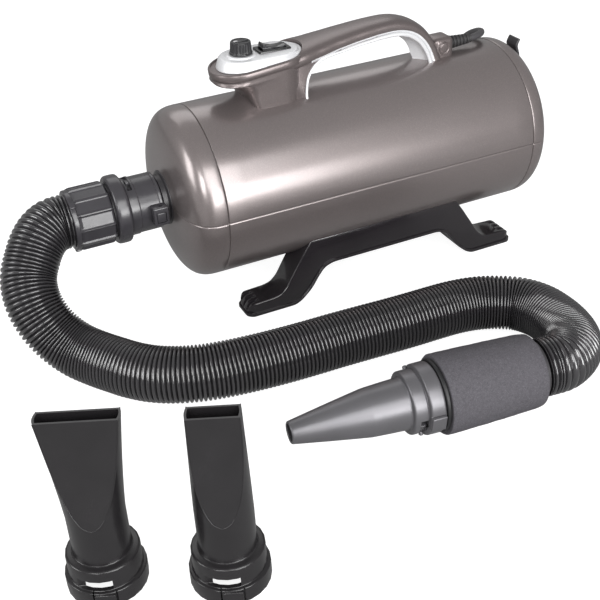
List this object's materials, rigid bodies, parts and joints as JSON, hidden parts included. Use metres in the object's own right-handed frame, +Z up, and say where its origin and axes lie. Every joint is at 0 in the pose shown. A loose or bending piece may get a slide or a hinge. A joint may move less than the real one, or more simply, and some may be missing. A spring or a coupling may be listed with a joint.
{
  "type": "pet dryer",
  "caption": "Cylinder blower on runners with a carrying handle, speed knob, rocker switch, corrugated hose, foam-gripped handpiece and flat spare nozzles.",
  "frame": {"origin": "on the floor, under the middle of the box around everything but the mains lead and the air hose", "axes": "+X along the barrel from the air outlet to the air inlet, +Y away from the control side, +Z up"},
  "size_m": [0.6344, 0.6453, 0.2701],
  "materials": {
    "shell_paint": "glossy metallic taupe paint",
    "handle_paint": "glossy metallic taupe paint",
    "silver_trim": "silver paint, satin",
    "black_gloss": "glossy black",
    "black_plastic": "satin black",
    "grey_plastic": "satin dark grey",
    "hose_plastic": "glossy black, corrugated",
    "foam": "matt closed-cell foam",
    "rubber": "matt black",
    "steel": "bright",
    "copper": "wound copper and brass",
    "alloy": "cast",
    "board": "printed circuit board"
  },
  "bodies": {
    "dryer": {"upper_shell": "shell_paint", "lower_shell": "shell_paint", "front_cap_upper": "shell_paint", "front_cap_lower": "shell_paint", "rear_cap_upper": "shell_paint", "rear_cap_lower": "shell_paint", "motor_can": "alloy", "motor_end_bracket": "alloy", "bearing_front": "steel", "bearing_rear": "steel", "stator": "steel", "brush_holder_left": "copper", "brush_holder_right": "copper", "motor_mount_front": "rubber", "motor_mount_rear": "rubber", "sound_lining": "foam", "outlet_cone": "black_plastic", "outlet_neck": "black_plastic", "hose_adapter": "grey_plastic", "hose_cuff": "grey_plastic", "air_hose": "hose_plastic", "handle": "handle_paint", "handle_trim_near": "silver_trim", "handle_trim_far": "silver_trim", "control_panel": "silver_trim", "dial_ring": "silver_trim", "switch_frame": "black_plastic", "speed_potentiometer": "steel", "control_board": "board", "strain_relief": "rubber", "mains_lead": "rubber", "lead_coil": "rubber", "mains_plug": "rubber", "runner_near": "black_gloss", "runner_far": "black_gloss", "pad_near_front": "rubber", "pad_near_rear": "rubber", "pad_far_front": "rubber", "pad_far_rear": "rubber", "runner_screw_1": "steel", "runner_screw_2": "steel", "runner_screw_3": "steel", "runner_screw_4": "steel"},
    "rotor": {"rotor_shaft": "copper", "fan_wheel": "alloy"},
    "cover": {"filter_cover": "black_plastic", "filter_foam": "foam", "filter_frame": "black_plastic"},
    "cover_latch": {"latch_tab": "black_plastic"},
    "adapter_button": {"latch_button": "grey_plastic"},
    "collar": {"bayonet_collar": "grey_plastic"},
    "handpiece": {"grip_tube": "black_plastic", "foam_grip": "foam", "nozzle_collar": "black_plastic"},
    "nozzle_button": {"nozzle_latch_button": "grey_plastic"},
    "nozzle": {"round_nozzle": "grey_plastic"},
    "knob": {"speed_knob": "black_plastic"},
    "rocker": {"rocker_switch": "black_plastic"},
    "spare_fan_nozzle": {"fan_nozzle": "black_plastic"},
    "spare_flat_nozzle": {"flat_nozzle": "black_plastic"}
  },
  "joints": [
    {"name": "rotor_spin", "type": "hinge", "parent": "dryer", "child": "rotor", "pos_m": [0.1191, 0.1647, 0.126], "axis": [1, 0, 0], "continuous": true},
    {"name": "cover_pull", "type": "slide", "parent": "dryer", "child": "cover", "axis": [1, 0, 0], "range_m": [0, 0.05]},
    {"name": "cover_latch_lift", "type": "hinge", "parent": "cover", "child": "cover_latch", "pos_m": [0.3144, 0.1647, 0.182], "axis": [0, 1, 0], "range_deg": [0, 25], "stiffness_Nm_per_rad": 0.05},
    {"name": "adapter_button_press", "type": "slide", "parent": "dryer", "child": "adapter_button", "axis": [0, 1, 0], "range_m": [0, 0.0018], "stiffness_N_per_m": 300},
    {"name": "collar_turn", "type": "hinge", "parent": "dryer", "child": "collar", "pos_m": [-0.1543, 0.1647, 0.126], "axis": [1, 0, 0], "range_deg": [0, 30]},
    {"name": "handpiece_lift", "type": "slide", "parent": "dryer", "child": "handpiece", "axis": [0, 0, 1], "range_m": [0, 0.05]},
    {"name": "nozzle_button_press", "type": "slide", "parent": "handpiece", "child": "nozzle_button", "axis": [0.0959, 0.8518, 0.515], "range_m": [0, 0.0012], "stiffness_N_per_m": 300},
    {"name": "nozzle_pull", "type": "slide", "parent": "handpiece", "child": "nozzle", "axis": [-0.9937, 0.1119, 0], "range_m": [0, 0.05]},
    {"name": "knob_turn", "type": "hinge", "parent": "dryer", "child": "knob", "pos_m": [-0.0089, 0.1647, 0.2555], "axis": [0.0262, 0, 0.9997], "range_deg": [0, 270]},
    {"name": "rocker_press", "type": "hinge", "parent": "dryer", "child": "rocker", "pos_m": [0.02412, 0.1647, 0.25564], "axis": [0, 1, 0], "range_deg": [-18, 0]},
    {"name": "fan_nozzle_lift", "type": "slide", "parent": "dryer", "child": "spare_fan_nozzle", "axis": [0, 0, 1], "range_m": [0, 0.05]},
    {"name": "flat_nozzle_lift", "type": "slide", "parent": "dryer", "child": "spare_flat_nozzle", "axis": [0, 0, 1], "range_m": [0, 0.05]}
  ]
}
